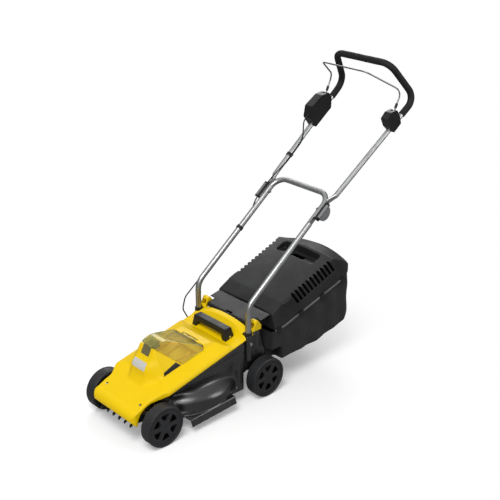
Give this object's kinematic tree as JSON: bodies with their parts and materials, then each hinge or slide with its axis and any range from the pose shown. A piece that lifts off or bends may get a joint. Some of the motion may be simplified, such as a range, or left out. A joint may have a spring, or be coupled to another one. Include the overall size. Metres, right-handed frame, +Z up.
{
  "type": "lawn_mower",
  "caption": "Push lawn mower with a moulded deck and cover, spoked wheels, a folding tube handle with a bail and a rear grass catcher",
  "frame": {"origin": "on the ground under the middle of the wheelbase", "axes": "+X to the left of the user behind the handle, +Y to the rear, +Z up"},
  "size_m": [0.392, 1.3122, 1.1353],
  "materials": {
    "yellow_plastic": "smooth moulded",
    "black_plastic": "satin moulded",
    "grey_plastic": "satin moulded",
    "light_grey_plastic": "satin moulded",
    "smoky_clear": "clear, smoke tinted",
    "olive_plastic": "smooth moulded",
    "red_plastic": "satin moulded",
    "green_board": "lacquered",
    "tube": "drawn, clear coated",
    "steel": "zinc plated",
    "iron_core": "varnished core and windings",
    "foam": "fine foam",
    "cable": "smooth sheath",
    "fabric": "woven"
  },
  "bodies": {
    "deck": {"deck_housing": "black_plastic", "top_cover": "yellow_plastic", "cover_screws": "steel", "battery_bay": "yellow_plastic", "terminal_block": "black_plastic", "lid_hinge_pin": "steel", "carry_handle": "black_plastic", "carry_handle_bolts": "steel", "motor_housing": "grey_plastic", "motor_stator": "iron_core", "motor_bearings": "steel", "motor_screws": "steel", "control_board": "green_board", "lower_handle_frame": "tube", "tube_collars": "black_plastic", "socket_bolts": "steel", "cable_clip_lower": "black_plastic", "cable_lower": "cable", "flap_hinge_pin": "steel", "flap_spring": "steel"},
    "front_axle_set": {"front_axle": "steel", "front_axle_spacers": "black_plastic"},
    "rear_axle_set": {"rear_axle": "steel", "rear_axle_spacers": "black_plastic"},
    "wheel_front_left": {"wheel_front_left": "grey_plastic"},
    "wheel_front_right": {"wheel_front_right": "grey_plastic"},
    "wheel_rear_left": {"wheel_rear_left": "grey_plastic"},
    "wheel_rear_right": {"wheel_rear_right": "grey_plastic"},
    "blade_set": {"motor_rotor": "iron_core", "motor_shaft": "steel", "blade_adapter": "black_plastic", "blade": "steel", "blade_bolt": "steel"},
    "battery_lid": {"battery_lid": "smoky_clear", "lid_latch": "olive_plastic"},
    "rear_flap": {"rear_flap": "black_plastic"},
    "upper_handle": {"upper_handle": "tube", "pivot_bolts": "steel", "clamp_pads": "black_plastic", "foam_grip": "foam", "switch_box": "black_plastic", "bail_clamp": "black_plastic", "cable_clip_upper": "black_plastic", "cable_upper": "cable", "cable_fold_loop": "cable"},
    "lever_left": {"lever_left": "light_grey_plastic"},
    "lever_right": {"lever_right": "light_grey_plastic"},
    "bail": {"bail_wire": "steel", "bail_sleeves": "black_plastic"},
    "start_button": {"start_button": "red_plastic"},
    "catcher": {"catcher_lid": "black_plastic", "catcher_frame": "black_plastic", "catcher_bag": "fabric", "bag_rails": "grey_plastic", "catcher_clips": "black_plastic"}
  },
  "joints": [
    {"name": "front_cutting_height", "type": "slide", "parent": "deck", "child": "front_axle_set", "axis": [0, 0, 1], "range_m": [-0.03, 0]},
    {"name": "rear_cutting_height", "type": "slide", "parent": "deck", "child": "rear_axle_set", "axis": [0, 0, 1], "range_m": [-0.03, 0]},
    {"name": "wheel_front_left_turn", "type": "hinge", "parent": "front_axle_set", "child": "wheel_front_left", "pos_m": [0.161, -0.238, 0.075], "axis": [1, 0, 0], "continuous": true},
    {"name": "wheel_front_right_turn", "type": "hinge", "parent": "front_axle_set", "child": "wheel_front_right", "pos_m": [-0.161, -0.238, 0.075], "axis": [1, 0, 0], "continuous": true},
    {"name": "wheel_rear_left_turn", "type": "hinge", "parent": "rear_axle_set", "child": "wheel_rear_left", "pos_m": [0.161, 0.238, 0.075], "axis": [1, 0, 0], "continuous": true},
    {"name": "wheel_rear_right_turn", "type": "hinge", "parent": "rear_axle_set", "child": "wheel_rear_right", "pos_m": [-0.161, 0.238, 0.075], "axis": [1, 0, 0], "continuous": true},
    {"name": "blade_spin", "type": "hinge", "parent": "deck", "child": "blade_set", "pos_m": [0, -0.027, 0.05], "axis": [0, 0, 1], "continuous": true},
    {"name": "battery_lid_open", "type": "hinge", "parent": "deck", "child": "battery_lid", "pos_m": [0, 0.018, 0.252], "axis": [-1, 0, 0], "range_deg": [0, 95]},
    {"name": "rear_flap_lift", "type": "hinge", "parent": "deck", "child": "rear_flap", "pos_m": [0, 0.206, 0.28], "axis": [1, 0, 0], "range_deg": [0, 45], "stiffness_Nm_per_rad": 0.08, "springref_deg": -34.38},
    {"name": "handle_fold", "type": "hinge", "parent": "deck", "child": "upper_handle", "pos_m": [0, 0.52967, 0.64312], "axis": [1, 0, 0], "range_deg": [0, 150], "deforming": ["cable_fold_loop"]},
    {"name": "lever_left_release", "type": "hinge", "parent": "upper_handle", "child": "lever_left", "pos_m": [0.1632, 0.52477, 0.64944], "axis": [0, -0.7904, -0.6126], "range_deg": [0, 100]},
    {"name": "lever_right_release", "type": "hinge", "parent": "upper_handle", "child": "lever_right", "pos_m": [-0.1632, 0.52477, 0.64944], "axis": [0, 0.7904, 0.6126], "range_deg": [0, 100]},
    {"name": "bail_pull", "type": "hinge", "parent": "upper_handle", "child": "bail", "pos_m": [0, 0.873, 0.947], "axis": [-1, 0, 0], "range_deg": [0, 25], "stiffness_Nm_per_rad": 0.8, "springref_deg": -17.19},
    {"name": "start_button_press", "type": "slide", "parent": "upper_handle", "child": "start_button", "axis": [0, -0.8016, -0.5979], "range_m": [0, 0.004], "stiffness_N_per_m": 300, "springref_m": -0.002},
    {"name": "catcher_lift_off", "type": "slide", "parent": "deck", "child": "catcher", "axis": [0, 1, 0], "range_m": [0, 0.35]}
  ]
}
